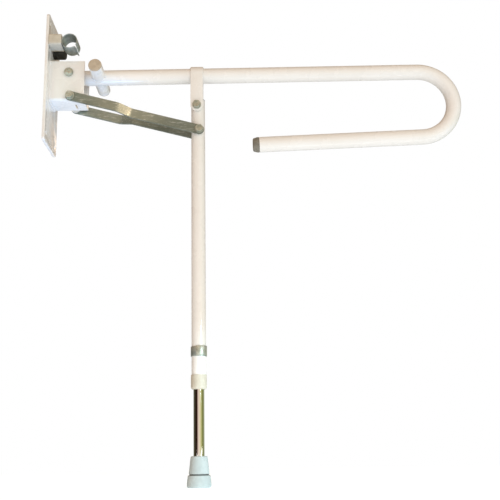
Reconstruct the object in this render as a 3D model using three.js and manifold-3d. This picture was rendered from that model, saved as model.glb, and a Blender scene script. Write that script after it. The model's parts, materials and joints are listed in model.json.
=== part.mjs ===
// Wall-hinged toilet safety rail with a telescopic floor leg.
//
// A J-shaped grab rail hinges on a wall plate and folds up to 85 degrees. A parallel linkage of two flat
// struts keeps the leg upright while the rail folds, and a cross stub on the rail then parks in a spring
// clip on the wall plate. The leg has an inner tube that slides and is pinned at one of five heights.
//
// Frame: millimetres, +X away from the wall, +Z up. The origin is the centre of the wall plate's back face.
import * as THREE from "three";
import { mergeVertices } from "three/addons/utils/BufferGeometryUtils.js";
import Module from "manifold-3d";

// ---- Driving dimensions ----
const GAP = 0.3; // left between pieces that touch
const ROUND = 16; // half the number of sides of a tube
const SMALL_ROUND = 10; // half the number of sides of a bolt, washer or bush

const PLATE = { thick: 5, wide: 100, tall: 250, corner: 6, holeR: 4, holeY: 38, holeZ: 109 };
const CHANNEL = { wide: 54, sheet: 3, bend: 5, front: 69, bottom: -39.5, top: 38.5 };

const RAIL = {
  r: 14.3,
  wall: 1.8,
  riseDeg: 0.7, // the upper run climbs this much away from the wall
  rear: 22,
  bendR: 66,
  bendX: 697,
  bendDeg: 178.4,
  returnEnd: 393.5,
  cap: 11.5,
};
const LEG = { r: 12.7, wall: 1.5, x: 279.5, top: -33, bottom: -566 };
const INNER = { r: 9.5, wall: 1.2, top: -430, bottom: -711 };

// The four pivots of the parallel linkage, as [x, z]. LINK is the same step on the channel and on the leg.
const LINK = [4.5, -48.5];
const RAIL_PIVOT = [40, 15.5];
const LEG_PIVOT = [277.5, -47];
const STRUT_PIVOT = [RAIL_PIVOT[0] + LINK[0], RAIL_PIVOT[1] + LINK[1]];
const LEG_STRUT_PIVOT = [LEG_PIVOT[0] + LINK[0], LEG_PIVOT[1] + LINK[1]];

const BOLT_R = 4;
const RAIL_BOLT_R = 5;
const HEX = { acrossFlats: 13, head: 5.5, nut: 7 };
const WASHER = { r: 8.2, thick: 1.5 };

const STRUT = { wide: 18, thick: 4, wallY: 28.8, legY: 14.3, joggleStart: 90, joggleEnd: 115 };
const HANGER = { inner: RAIL.r + GAP, sheet: 3, endR: 11.5 };
const STUB = { x: 93, r: 12.2, wall: 1.6, reach: 57, cap: 2, spigot: 9 };

const FOLD_DEG = 85;
const CLIP = { r: 13.2, sheet: 1.5, near: -52, far: -19, lip: 8, flareDeg: 20 };
const STANDOFF = { low: 61, high: 82.5, corner: 3 };
const BUFFER = { z: 69, r: 13, front: 28, nose: 5, recessR: 5, recess: 4 };

const HEIGHT_CLIP = { z: -505, tall: 17, sheet: 1.1, pinR: 3, pinTip: 10.1, tail: 4 };
const HEIGHT_STEP = 25;
const END_BUSH = { r: 13.9, top: -545.5, bottom: -570.5, sleeveTop: -535 };
const FERRULE = { top: -683, bottom: -735, groove: -713.5, boreBottom: -714.5 };

const RISE = THREE.MathUtils.degToRad(RAIL.riseDeg);
/** The height of the upper run's axis at x. The axis passes through the rail's pivot. */
const railZ = (x) => RAIL_PIVOT[1] + (x - RAIL_PIVOT[0]) * Math.tan(RISE);

// ---- Solids ----
const wasm = await Module();
wasm.setup();

/** A closed geometry as a manifold solid, for cutting and joining. */
function solid(geometry) {
  const bare = geometry.index ? geometry.toNonIndexed() : geometry.clone();
  bare.deleteAttribute("normal");
  bare.deleteAttribute("uv");
  const merged = mergeVertices(bare, 1e-4);
  return new wasm.Manifold(
    new wasm.Mesh({
      numProp: 3,
      vertProperties: merged.attributes.position.array,
      triVerts: new Uint32Array(merged.index.array),
    }),
  );
}

/** A manifold solid back as a three.js geometry. */
function geometryOf(made) {
  const mesh = made.getMesh();
  const geometry = new THREE.BufferGeometry();
  geometry.setAttribute("position", new THREE.BufferAttribute(mesh.vertProperties, 3));
  geometry.setIndex(new THREE.BufferAttribute(mesh.triVerts, 1));
  geometry.computeVertexNormals();
  return geometry;
}

const cut = (geometry, ...tools) =>
  geometryOf(tools.reduce((left, tool) => left.subtract(solid(tool)), solid(geometry)));
const join = (...parts) => geometryOf(parts.map(solid).reduce((all, one) => all.add(one)));
const common = (a, b) => geometryOf(solid(a).intersect(solid(b)));

/** The same shape on the other side of the rail, its faces still outward. */
function mirrored(geometry) {
  const other = (geometry.index ? geometry.toNonIndexed() : geometry.clone()).scale(1, -1, 1);
  const at = other.attributes.position;
  const corner = [new THREE.Vector3(), new THREE.Vector3()];
  for (let i = 0; i < at.count; i += 3) {
    corner.forEach((c, k) => c.fromBufferAttribute(at, i + 1 + k));
    corner.forEach((c, k) => at.setXYZ(i + 2 - k, ...c));
  }
  return geometryOf(solid(other));
}

const basis = (x, y, z) =>
  new THREE.Matrix4().makeBasis(new THREE.Vector3(...x), new THREE.Vector3(...y), new THREE.Vector3(...z));
const YZ_TO_X = basis([0, 1, 0], [0, 0, 1], [1, 0, 0]); // a drawing in Y and Z, extruded along +X
const XZ_TO_Y = basis([1, 0, 0], [0, 0, 1], [0, -1, 0]); // a drawing in X and Z, extruded along -Y
const TO_Y = basis([1, 0, 0], [0, 0, -1], [0, 1, 0]); // a turned piece stood along +Y
const TO_X = basis([0, 0, -1], [0, 1, 0], [1, 0, 0]); // a turned piece stood along +X

function extrude(shape, depth, curveSegments = SMALL_ROUND) {
  return new THREE.ExtrudeGeometry(shape, { depth, curveSegments, bevelEnabled: false });
}

/** A drawing in Y and Z, extruded from x0 to x1. */
const alongX = (shape, x0, x1, segments) =>
  extrude(shape, x1 - x0, segments).applyMatrix4(YZ_TO_X).translate(x0, 0, 0);

/** A drawing in X and Z, extruded from y0 to y1. */
const acrossY = (shape, y0, y1, segments) =>
  extrude(shape, y1 - y0, segments).applyMatrix4(XZ_TO_Y).translate(0, y1, 0);

function circle(x, y, r) {
  return new THREE.Shape().absarc(x, y, r, 0, 2 * Math.PI, false);
}

function ring(x, y, outer, inner) {
  const shape = circle(x, y, outer);
  shape.holes.push(new THREE.Path().absarc(x, y, inner, 0, 2 * Math.PI, true));
  return shape;
}

function roundedBox(x0, y0, x1, y1, r) {
  const shape = new THREE.Shape();
  shape.absarc(x1 - r, y0 + r, r, -Math.PI / 2, 0, false);
  shape.absarc(x1 - r, y1 - r, r, 0, Math.PI / 2, false);
  shape.absarc(x0 + r, y1 - r, r, Math.PI / 2, Math.PI, false);
  shape.absarc(x0 + r, y0 + r, r, Math.PI, 1.5 * Math.PI, false);
  return shape;
}

/** A round bar or hole across the part, centred on [x, z]. */
const bar = ([x, z], r, y0, y1) => acrossY(circle(x, z, r), y0, y1);

/** A washer or sleeve across the part, centred on [x, z]. */
const sleeve = ([x, z], outer, inner, y0, y1) => acrossY(ring(x, z, outer, inner), y0, y1);

/** A profile of [radius, height] points turned about +Z. The profile closes on itself or on the axis. */
function turned(profile, sides = 2 * ROUND) {
  return new THREE.LatheGeometry(
    profile.map(([r, h]) => new THREE.Vector2(r, h)),
    sides,
  ).rotateX(Math.PI / 2);
}

/** The same profile turned about +Z as a closed ring: its last point joins its first. */
const turnedRing = (profile, sides) => turned([...profile, profile[0]], sides);

// ---- Fasteners ----
/** A hexagon across the part, between y0 and y1. */
function hexagon([x, z], y0, y1) {
  const shape = new THREE.Shape();
  const corner = HEX.acrossFlats / 2 / Math.cos(Math.PI / 6);
  for (let i = 0; i < 6; i++) {
    const a = (i * Math.PI) / 3;
    shape[i ? "lineTo" : "moveTo"](x + corner * Math.cos(a), z + corner * Math.sin(a));
  }
  shape.closePath();
  return acrossY(shape, y0, y1);
}

/** A hexagon bolt whose head is on the -Y side, its underside at -headY, and its tip at tipY. */
const hexBolt = (at, r, headY, tipY) =>
  join(hexagon(at, -headY - HEX.head, -headY), bar(at, r, -headY - 1, tipY));

const hexNut = (at, r, y) => cut(hexagon(at, y, y + HEX.nut), bar(at, r + GAP, y - 1, y + HEX.nut + 1));

const washer = (at, r, y) => sleeve(at, WASHER.r, r + GAP, y, y + WASHER.thick);

/** The rail's pivot bolt has a shallow domed head. */
function domedBolt([x, z], r, headY, tipY) {
  const headR = 8.5;
  const headTall = 5;
  const head = new THREE.Shape();
  head.moveTo(0, 0);
  head.lineTo(headR, 0);
  head.lineTo(headR, 1.5);
  head.absellipse(0, 1.5, headR, headTall - 1.5, 0, Math.PI / 2, false, 0);
  head.lineTo(0, 0);
  const profile = head.getPoints(5).map((p) => [p.x, p.y]);
  const dome = turned(profile, 2 * SMALL_ROUND).applyMatrix4(XZ_TO_Y).translate(x, -headY, z);
  return join(dome, bar([x, z], r, -headY - 1, tipY));
}

// ---- Wall side ----
function wallPlate() {
  const { wide, tall, corner, holeR, holeY, holeZ, thick } = PLATE;
  const shape = roundedBox(-wide / 2, -tall / 2, wide / 2, tall / 2, corner);
  for (const y of [-holeY, holeY]) {
    for (const z of [-holeZ, holeZ]) {
      shape.holes.push(new THREE.Path().absarc(y, z, holeR, 0, 2 * Math.PI, true));
    }
  }
  return alongX(shape, 0, thick, 8);
}

/** The hinge channel: two cheeks joined by a web underneath, welded to the plate by its end. */
function hingeChannel() {
  const { wide, sheet, bend, front, bottom, top } = CHANNEL;
  const half = wide / 2;
  const shape = new THREE.Shape();
  shape.moveTo(half, top);
  shape.lineTo(half - sheet, top);
  shape.absarc(half - bend, bottom + bend, bend - sheet, 0, -Math.PI / 2, true);
  shape.absarc(-half + bend, bottom + bend, bend - sheet, -Math.PI / 2, -Math.PI, true);
  shape.lineTo(-half + sheet, top);
  shape.lineTo(-half, top);
  shape.absarc(-half + bend, bottom + bend, bend, Math.PI, 1.5 * Math.PI, false);
  shape.absarc(half - bend, bottom + bend, bend, -Math.PI / 2, 0, false);
  shape.closePath();
  const channel = alongX(shape, PLATE.thick + GAP, front, 3);
  const drain = roundedBox(-1.6, -10, 1.6, 10, 1.5);
  return cut(
    channel,
    bar(RAIL_PIVOT, RAIL_BOLT_R + GAP, -half - 1, half + 1),
    bar(STRUT_PIVOT, BOLT_R + GAP, -half - 1, half + 1),
    extrude(drain, 10, 3).translate(STRUT_PIVOT[0] + 6, 6, bottom - 3),
  );
}

/** Where the cross stub's axis comes to when the rail is folded up. */
function parkedStub() {
  const a = THREE.MathUtils.degToRad(FOLD_DEG);
  const dx = STUB.x - RAIL_PIVOT[0];
  const dz = railZ(STUB.x) - RAIL_PIVOT[1];
  return [
    RAIL_PIVOT[0] + dx * Math.cos(a) - dz * Math.sin(a),
    RAIL_PIVOT[1] + dx * Math.sin(a) + dz * Math.cos(a),
  ];
}

/** A sprung steel U open towards +X, with flared lips, that holds the near stub when it is parked. */
function parkingClip() {
  const [x, z] = parkedStub();
  const inner = CLIP.r;
  const outer = CLIP.r + CLIP.sheet;
  const flare = Math.tan(THREE.MathUtils.degToRad(CLIP.flareDeg)) * CLIP.lip;
  const shape = new THREE.Shape();
  shape.moveTo(x + CLIP.lip, z + outer + flare);
  shape.absarc(x, z, outer, Math.PI / 2, 1.5 * Math.PI, false);
  shape.lineTo(x + CLIP.lip, z - outer - flare);
  shape.lineTo(x + CLIP.lip, z - inner - flare);
  shape.absarc(x, z, inner, 1.5 * Math.PI, Math.PI / 2, true);
  shape.lineTo(x + CLIP.lip, z + inner + flare);
  shape.closePath();
  const y = (CLIP.near + CLIP.far) / 2;
  const screwHole = turned([[0, -20], [2.3, -20], [2.3, 20], [0, 20]], 2 * SMALL_ROUND).applyMatrix4(TO_X);
  return cut(acrossY(shape, CLIP.near, CLIP.far, 8), screwHole.translate(x - outer, y, z));
}

/** The moulded block that carries the clip clear of the plate. */
function clipStandoff() {
  const [x, z] = parkedStub();
  const front = x - CLIP.r - CLIP.sheet - GAP;
  const shape = roundedBox(CLIP.near, STANDOFF.low, CLIP.far, STANDOFF.high, STANDOFF.corner);
  const y = (CLIP.near + CLIP.far) / 2;
  const pilot = turned([[0, -16], [1.8, -16], [1.8, 1], [0, 1]], 2 * SMALL_ROUND).applyMatrix4(TO_X);
  return cut(alongX(shape, PLATE.thick + GAP, front, 3), pilot.translate(front, y, z));
}

/** The pan-head screw that holds the clip on its block. Its head lies inside the clip. */
function clipScrew() {
  const [x, z] = parkedStub();
  const seat = x - CLIP.r + 0.42;
  const y = (CLIP.near + CLIP.far) / 2;
  const profile = [[0, -14], [1.5, -14], [1.5, 0], [2.6, 0], [2.2, 0.3], [0, 0.35]];
  return turned(profile, 2 * SMALL_ROUND).applyMatrix4(TO_X).translate(seat, y, z);
}

/** The rubber buffer on the plate that the folded rail comes to rest in front of. */
function railBuffer() {
  const { z, r, front, nose, recessR, recess } = BUFFER;
  const profile = [[0, PLATE.thick + GAP], [r, PLATE.thick + GAP]];
  for (let i = 0; i <= 6; i += 1) {
    const a = (i / 6) * (Math.PI / 2);
    profile.push([r - nose + nose * Math.cos(a), front - nose + nose * Math.sin(a)]);
  }
  profile.push([recessR, front], [recessR, front - recess], [0, front - recess]);
  return turned(profile, 2 * SMALL_ROUND).applyMatrix4(TO_X).translate(0, 0, z);
}

// ---- Rail ----
/** A path whose extrusion steps fall exactly on the given stations. */
class StationPath extends THREE.Curve {
  constructor(stations) {
    super();
    this.stations = stations;
  }
  station(u) {
    return this.stations[Math.round(u * (this.stations.length - 1))];
  }
  getPoint(u) {
    return this.station(u).point.clone();
  }
  getPointAt(u) {
    return this.getPoint(u);
  }
  getTangentAt(u) {
    return this.station(u).tangent.clone();
  }
}

/** The rail's centreline from x0: straight out, round the bend, and back to x1. */
function railPath(x0, x1) {
  const { bendR, bendX } = RAIL;
  const steps = 18;
  const bend = THREE.MathUtils.degToRad(RAIL.bendDeg);
  const heading = (h) => new THREE.Vector3(Math.cos(h), 0, Math.sin(h));
  const centre = new THREE.Vector3(bendX + bendR * Math.sin(RISE), 0, railZ(bendX) - bendR * Math.cos(RISE));
  const stations = [{ point: new THREE.Vector3(x0, 0, railZ(x0)), tangent: heading(RISE) }];
  for (let i = 0; i <= steps; i++) {
    const h = RISE - (i * bend) / steps;
    const arm = new THREE.Vector3(-Math.sin(h), 0, Math.cos(h)).multiplyScalar(bendR);
    stations.push({ point: centre.clone().add(arm), tangent: heading(h) });
  }
  const last = stations[stations.length - 1];
  const run = (x1 - last.point.x) / last.tangent.x;
  stations.push({ point: last.point.clone().addScaledVector(last.tangent, run), tangent: last.tangent });
  return new StationPath(stations);
}

function railTube() {
  const path = railPath(RAIL.rear, RAIL.returnEnd);
  const tube = new THREE.ExtrudeGeometry(ring(0, 0, RAIL.r, RAIL.r - RAIL.wall), {
    steps: path.stations.length - 1,
    curveSegments: ROUND,
    extrudePath: path,
  });
  return cut(tube, bar(RAIL_PIVOT, 8 + GAP, -20, 20));
}

/** A plug for a tube end: a domed cap outside and a spigot inside. The cap faces +Z. */
function tubePlug(tubeR, wall, cap, spigot) {
  const inner = tubeR - wall - GAP;
  return turned([
    [0, -spigot],
    [inner, -spigot],
    [inner, 0],
    [tubeR, 0],
    [tubeR, cap * 0.4],
    [tubeR * 0.86, cap * 0.85],
    [tubeR * 0.5, cap],
    [0, cap],
  ]);
}

/** Half of the parking cross tube: hollow, with its inner end scribed to the rail. */
function parkStub() {
  const end = STUB.reach - STUB.cap - GAP;
  const tube = sleeve([STUB.x, railZ(STUB.x)], STUB.r, STUB.r - STUB.wall, 0, end);
  const rail = turned([[0, -40], [RAIL.r + GAP, -40], [RAIL.r + GAP, 40], [0, 40]]).applyMatrix4(TO_X);
  return cut(tube, rail.rotateY(-RISE).translate(STUB.x, 0, railZ(STUB.x)));
}

/** The hanger strap: bent over the rail, with two ears that carry the leg's pivot bolt. */
function legHanger() {
  const { inner, sheet, endR } = HANGER;
  const outer = inner + sheet;
  const low = LEG_PIVOT[1] - endR - 2;
  const z = railZ(LEG_PIVOT[0]);
  const section = new THREE.Shape();
  section.moveTo(outer, low);
  section.absarc(0, z, outer, 0, Math.PI, false);
  section.lineTo(-outer, low);
  section.lineTo(-inner, low);
  section.absarc(0, z, inner, Math.PI, 0, true);
  section.lineTo(inner, low);
  section.closePath();
  const outline = new THREE.Shape();
  outline.moveTo(LEG_PIVOT[0] + endR, z + outer + 1);
  outline.lineTo(LEG_PIVOT[0] - endR, z + outer + 1);
  outline.absarc(LEG_PIVOT[0], LEG_PIVOT[1], endR, Math.PI, 2 * Math.PI, false);
  outline.closePath();
  const strap = alongX(section, LEG_PIVOT[0] - endR - 1, LEG_PIVOT[0] + endR + 1, 8);
  const eared = common(strap, acrossY(outline, -outer - 1, outer + 1, 8));
  return cut(eared, bar(LEG_PIVOT, BOLT_R + GAP, -outer - 2, outer + 2));
}

// ---- Strut ----
/** A flat bar, joggled inwards between its wall end and its leg end. */
function strut() {
  const { wide, thick, wallY, legY, joggleStart, joggleEnd } = STRUT;
  const dx = LEG_PIVOT[0] - RAIL_PIVOT[0];
  const dz = LEG_PIVOT[1] - RAIL_PIVOT[1];
  const long = Math.hypot(dx, dz);
  const half = wide / 2;
  const plan = new THREE.Shape();
  plan.moveTo(-half - 1, wallY);
  plan.lineTo(joggleStart, wallY);
  plan.lineTo(joggleEnd, legY);
  plan.lineTo(long + half + 1, legY);
  plan.lineTo(long + half + 1, legY + thick);
  plan.lineTo(joggleEnd, legY + thick);
  plan.lineTo(joggleStart, wallY + thick);
  plan.lineTo(-half - 1, wallY + thick);
  plan.closePath();
  const bent = extrude(plan, wide + 2).translate(0, 0, -half - 1);
  const outline = new THREE.Shape();
  outline.absarc(0, 0, half, Math.PI / 2, 1.5 * Math.PI, false);
  outline.absarc(long, 0, half, -Math.PI / 2, Math.PI / 2, false);
  outline.closePath();
  const eyes = [0, long].map((x) => bar([x, 0], BOLT_R + GAP, 0, wallY + 2 * thick));
  return cut(common(bent, acrossY(outline, 0, wallY + thick + 1, 8)), ...eyes)
    .rotateY(-Math.atan2(dz, dx))
    .translate(STRUT_PIVOT[0], 0, STRUT_PIVOT[1]);
}

// ---- Leg ----
/** A straight tube stood on the leg's axis. */
const legSleeve = (outer, inner, low, high, sides) =>
  turnedRing([[inner, low], [outer, low], [outer, high], [inner, high]], sides).translate(LEG.x, 0, 0);

function legTube() {
  const tube = legSleeve(LEG.r, LEG.r - LEG.wall, LEG.bottom, LEG.top);
  return cut(
    tube,
    bar(LEG_PIVOT, 6 + GAP, -20, 20),
    bar(LEG_STRUT_PIVOT, BOLT_R + GAP, -20, 20),
    bar([LEG.x, HEIGHT_CLIP.z], HEIGHT_CLIP.pinR + GAP, -20, 0),
  );
}

/** The steel band that grips the front of the leg and carries the height pin. */
function heightClip() {
  const { z, tall, sheet, pinR, pinTip, tail } = HEIGHT_CLIP;
  const inner = LEG.r + GAP;
  const outer = inner + sheet;
  const shape = new THREE.Shape();
  shape.moveTo(outer, tail);
  shape.lineTo(inner, tail);
  shape.absarc(0, 0, inner, 0, -Math.PI, true);
  shape.lineTo(-inner, tail);
  shape.lineTo(-outer, tail);
  shape.absarc(0, 0, outer, Math.PI, 2 * Math.PI, false);
  shape.closePath();
  const band = extrude(shape, tall, 12).translate(LEG.x, 0, z - tall / 2);
  return join(band, bar([LEG.x, z], pinR, -outer + 0.4, -pinTip));
}

function innerTube() {
  const holes = [];
  for (let i = -2; i <= 2; i++) {
    holes.push(bar([LEG.x, HEIGHT_CLIP.z + i * HEIGHT_STEP], HEIGHT_CLIP.pinR + GAP, -20, 0));
  }
  return cut(legSleeve(INNER.r, INNER.r - INNER.wall, INNER.bottom, INNER.top), ...holes);
}

/** A cup on the end of the outer tube, with a sleeve inside it that guides the inner tube. */
function endBush() {
  const { r, top, bottom, sleeveTop } = END_BUSH;
  const bore = INNER.r + GAP;
  const liner = LEG.r - LEG.wall - GAP;
  return turnedRing([
    [bore, bottom],
    [r - 2.2, bottom],
    [r - 0.6, bottom + 1.2],
    [r, bottom + 3.2],
    [r, top - 0.6],
    [r - 0.3, top],
    [LEG.r + GAP, top],
    [LEG.r + GAP, LEG.bottom - GAP],
    [liner, LEG.bottom - GAP],
    [liner, sleeveTop],
    [bore, sleeveTop],
  ]).translate(LEG.x, 0, 0);
}

/** The glide on top of the inner tube, running in the outer tube. */
function innerGlide() {
  const top = INNER.top + GAP;
  const spigot = INNER.r - INNER.wall - GAP;
  return turnedRing([
    [spigot - 1.6, top - 14],
    [spigot, top - 14],
    [spigot, top],
    [LEG.r - LEG.wall - GAP, top],
    [LEG.r - LEG.wall - GAP, top + 5],
    [spigot - 1.6, top + 5],
  ]).translate(LEG.x, 0, 0);
}

/** The rubber foot: a flared ferrule with a step round it, pushed over the inner tube. */
function ferrule() {
  const { top, bottom, groove, boreBottom } = FERRULE;
  return turned([
    [0, bottom],
    [19.2, bottom],
    [20.8, bottom + 1.8],
    [21, bottom + 6],
    [19.4, groove - 1.4],
    [17.4, groove - 0.6],
    [17.4, groove + 0.6],
    [17.6, groove + 2],
    [14.4, top - 2],
    [13.4, top],
    [INNER.r + GAP, top],
    [INNER.r + GAP, boreBottom],
    [0, boreBottom],
  ]).translate(LEG.x, 0, 0);
}

/** The steel disc in the foot that stops the tube from cutting through the rubber. */
const ferruleDisc = () =>
  turned([[0, 0], [INNER.r, 0], [INNER.r, 2.4], [0, 2.4]]).translate(LEG.x, 0, FERRULE.boreBottom + GAP);

// ---- Materials ----
const finish = (color, roughness, metalness) => new THREE.MeshStandardMaterial({ color, roughness, metalness });
const white = finish(0xf1ede8, 0.35, 0);
const strutGrey = finish(0x6d7063, 0.45, 0.3);
const zinc = finish(0xb9b79a, 0.35, 0.9);
const spring = finish(0x8fa09d, 0.4, 0.6);
const chrome = finish(0xd8d6cc, 0.08, 1);
const beige = finish(0xcbb393, 0.6, 0);
const warmGrey = finish(0xc9c3b2, 0.55, 0);
const darkGrey = finish(0x7f7b70, 0.6, 0);
const nylon = finish(0xe9e7df, 0.5, 0);
const rubber = finish(0xc3cbc9, 0.8, 0);
const blackRubber = finish(0x34312c, 0.85, 0);

// ---- Assembly ----
const assembly = new THREE.Group();

function add(name, geometry, material) {
  const mesh = new THREE.Mesh(geometry, material);
  mesh.name = name;
  assembly.add(mesh);
}

/** A piece on each side of the rail, made for the +Y side. */
function addPair(name, geometry, material) {
  add(`${name}_far`, geometry, material);
  add(`${name}_near`, mirrored(geometry), material);
}

function addWallSide() {
  const cheek = CHANNEL.wide / 2;
  add("wall_plate", wallPlate(), white);
  add("hinge_channel", hingeChannel(), white);
  add("clip_standoff", clipStandoff(), warmGrey);
  add("parking_clip", parkingClip(), spring);
  add("clip_screw", clipScrew(), zinc);
  add("rail_buffer", railBuffer(), blackRubber);
  const seat = cheek + GAP + WASHER.thick + GAP;
  add("rail_pivot_bolt", domedBolt(RAIL_PIVOT, RAIL_BOLT_R, seat, seat + 10), zinc);
  add("rail_pivot_nut", hexNut(RAIL_PIVOT, RAIL_BOLT_R, seat), zinc);
  const strutFace = STRUT.wallY + STRUT.thick;
  const strutSeat = strutFace + GAP + WASHER.thick + GAP;
  add("strut_pivot_bolt", hexBolt(STRUT_PIVOT, BOLT_R, strutSeat, strutSeat + 10), zinc);
  add("strut_pivot_nut", hexNut(STRUT_PIVOT, BOLT_R, strutSeat), zinc);
  addPair("rail_pivot_washer", washer(RAIL_PIVOT, RAIL_BOLT_R, cheek + GAP), zinc);
  addPair("strut_pivot_washer", washer(STRUT_PIVOT, BOLT_R, strutFace + GAP), zinc);
  const spacer = sleeve(STRUT_PIVOT, 8.5, BOLT_R + GAP, cheek + GAP, STRUT.wallY - GAP);
  addPair("strut_pivot_spacer", spacer, nylon);
}

function addRail() {
  add("rail_tube", railTube(), white);
  const cheekInside = CHANNEL.wide / 2 - CHANNEL.sheet;
  const bush = sleeve(RAIL_PIVOT, 8, RAIL_BOLT_R + GAP, GAP - cheekInside, cheekInside - GAP);
  add("rail_pivot_bush", bush, zinc);
  const railEnd = railPath(RAIL.rear, RAIL.returnEnd).station(1);
  const endPlug = tubePlug(RAIL.r, RAIL.wall, RAIL.cap, 14).applyMatrix4(TO_X);
  endPlug.rotateY(-Math.atan2(railEnd.tangent.z, railEnd.tangent.x));
  const capFoot = railEnd.point.clone().addScaledVector(railEnd.tangent, GAP);
  add("rail_end_cap", endPlug.translate(capFoot.x, capFoot.y, capFoot.z), darkGrey);
  addPair("park_stub", parkStub(), white);
  const stubPlug = tubePlug(STUB.r, STUB.wall, STUB.cap, STUB.spigot).applyMatrix4(TO_Y);
  addPair("park_stub_cap", stubPlug.translate(STUB.x, STUB.reach - STUB.cap, railZ(STUB.x)), beige);
  add("leg_hanger", legHanger(), white);
  const ear = HANGER.inner + HANGER.sheet;
  const seat = ear + GAP + WASHER.thick + GAP;
  add("leg_pivot_bolt", hexBolt(LEG_PIVOT, BOLT_R, seat, seat + 10), zinc);
  add("leg_pivot_nut", hexNut(LEG_PIVOT, BOLT_R, seat), zinc);
  addPair("leg_pivot_washer", washer(LEG_PIVOT, BOLT_R, ear + GAP), zinc);
  const spacer = sleeve(LEG_PIVOT, 9.5, BOLT_R + GAP, LEG.r + GAP, HANGER.inner - GAP);
  addPair("leg_pivot_spacer", spacer, nylon);
}

function addLeg() {
  add("leg_tube", legTube(), white);
  const topPlug = cut(
    tubePlug(LEG.r, LEG.wall, 2, 3).translate(LEG.x, 0, LEG.top + GAP),
    bar(LEG_PIVOT, 6 + 2 * GAP, -20, 20),
  );
  add("leg_top_plug", topPlug, darkGrey);
  add("leg_pivot_bush", sleeve(LEG_PIVOT, 6, BOLT_R + GAP, -12, 12), zinc);
  const strutFace = STRUT.legY + STRUT.thick;
  const seat = strutFace + GAP + WASHER.thick + GAP;
  add("strut_leg_bolt", hexBolt(LEG_STRUT_PIVOT, BOLT_R, seat, seat + 10), zinc);
  add("strut_leg_nut", hexNut(LEG_STRUT_PIVOT, BOLT_R, seat), zinc);
  addPair("strut_leg_washer", washer(LEG_STRUT_PIVOT, BOLT_R, strutFace + GAP), zinc);
  const spacer = sleeve(LEG_STRUT_PIVOT, 8, BOLT_R + GAP, LEG.r + GAP, STRUT.legY - GAP);
  addPair("strut_leg_spacer", spacer, nylon);
  add("leg_end_bush", endBush(), warmGrey);
  add("height_clip", heightClip(), spring);
}

function addInnerLeg() {
  add("inner_tube", innerTube(), chrome);
  add("inner_tube_glide", innerGlide(), nylon);
  add("foot_ferrule", ferrule(), rubber);
  add("foot_disc", ferruleDisc(), zinc);
}

addWallSide();
addRail();
addPair("strut", strut(), strutGrey);
addLeg();
addInnerLeg();

export default assembly;
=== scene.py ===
import json
import math

import bmesh
import bpy
from mathutils import Matrix, Vector

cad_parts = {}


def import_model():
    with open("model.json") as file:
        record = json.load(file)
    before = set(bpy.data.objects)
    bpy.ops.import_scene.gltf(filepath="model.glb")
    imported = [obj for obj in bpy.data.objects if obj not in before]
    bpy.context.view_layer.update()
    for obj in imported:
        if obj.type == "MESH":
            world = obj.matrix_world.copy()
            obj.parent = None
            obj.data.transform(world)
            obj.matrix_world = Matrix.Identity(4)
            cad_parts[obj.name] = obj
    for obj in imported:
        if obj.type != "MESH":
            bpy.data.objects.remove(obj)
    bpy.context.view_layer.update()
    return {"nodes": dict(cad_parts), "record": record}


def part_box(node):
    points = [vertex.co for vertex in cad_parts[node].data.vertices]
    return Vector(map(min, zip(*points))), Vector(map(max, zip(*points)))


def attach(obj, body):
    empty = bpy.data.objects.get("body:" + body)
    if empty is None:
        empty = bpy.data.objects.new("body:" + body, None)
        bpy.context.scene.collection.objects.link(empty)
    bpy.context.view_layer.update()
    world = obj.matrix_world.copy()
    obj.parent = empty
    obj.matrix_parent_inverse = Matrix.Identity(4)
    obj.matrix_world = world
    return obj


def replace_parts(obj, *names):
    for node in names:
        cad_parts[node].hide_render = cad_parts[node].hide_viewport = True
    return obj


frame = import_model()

# The looks of a wall-hinged toilet safety rail. Everything is in metres, in the CAD frame: +X away from the
# wall, +Z up, and the near side is -Y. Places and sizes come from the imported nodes' boxes and the joints.

RECORD = frame["record"]
BODY_OF = {node: body for body, nodes in RECORD["behaviour"]["bodies"].items() for node in nodes}
SLOT_OF = {part["node"]: part["material_slot"] for part in RECORD["subparts"]}
MM = 0.001
GAP = 0.3 * MM  # between pieces that touch
SHEET = 3 * MM  # of the channel and the hanger
BOLT_HOLE = 4.3 * MM  # radius of the holes for the 8 mm bolts
FOOT_GROOVE = 21.5 * MM  # height of the foot's groove above its base
X, Y, Z = Vector((1, 0, 0)), Vector((0, 1, 0)), Vector((0, 0, 1))
SIDES = {"near": -1, "far": 1}

PIVOT = {j["name"]: Vector(j["pos_m"]) for j in RECORD["behaviour"]["joints"] if "pos_m" in j}
RAIL_PIVOT = PIVOT["rail_fold"]
STRUT_PIVOT = PIVOT["strut_swing"]
LEG_PIVOT = PIVOT["leg_swing"]
LEG_STRUT_PIVOT = LEG_PIVOT + STRUT_PIVOT - RAIL_PIVOT


# ---- Boxes of the CAD nodes ----
def low(node):
    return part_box(node)[0]


def high(node):
    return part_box(node)[1]


def middle(node):
    return (low(node) + high(node)) / 2


def size(node):
    return high(node) - low(node)


# ---- Mesh building ----
def mesh_object(name, points, faces):
    """An object from points and faces, with doubled points merged and its faces turned outward."""
    mesh = bpy.data.meshes.new(name)
    mesh.from_pydata([tuple(p) for p in points], [], faces)
    made = bmesh.new()
    made.from_mesh(mesh)
    bmesh.ops.remove_doubles(made, verts=made.verts, dist=1e-7)
    bmesh.ops.recalc_face_normals(made, faces=made.faces)
    made.to_mesh(mesh)
    made.free()
    obj = bpy.data.objects.new(name, mesh)
    bpy.context.scene.collection.objects.link(obj)
    return obj


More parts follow.
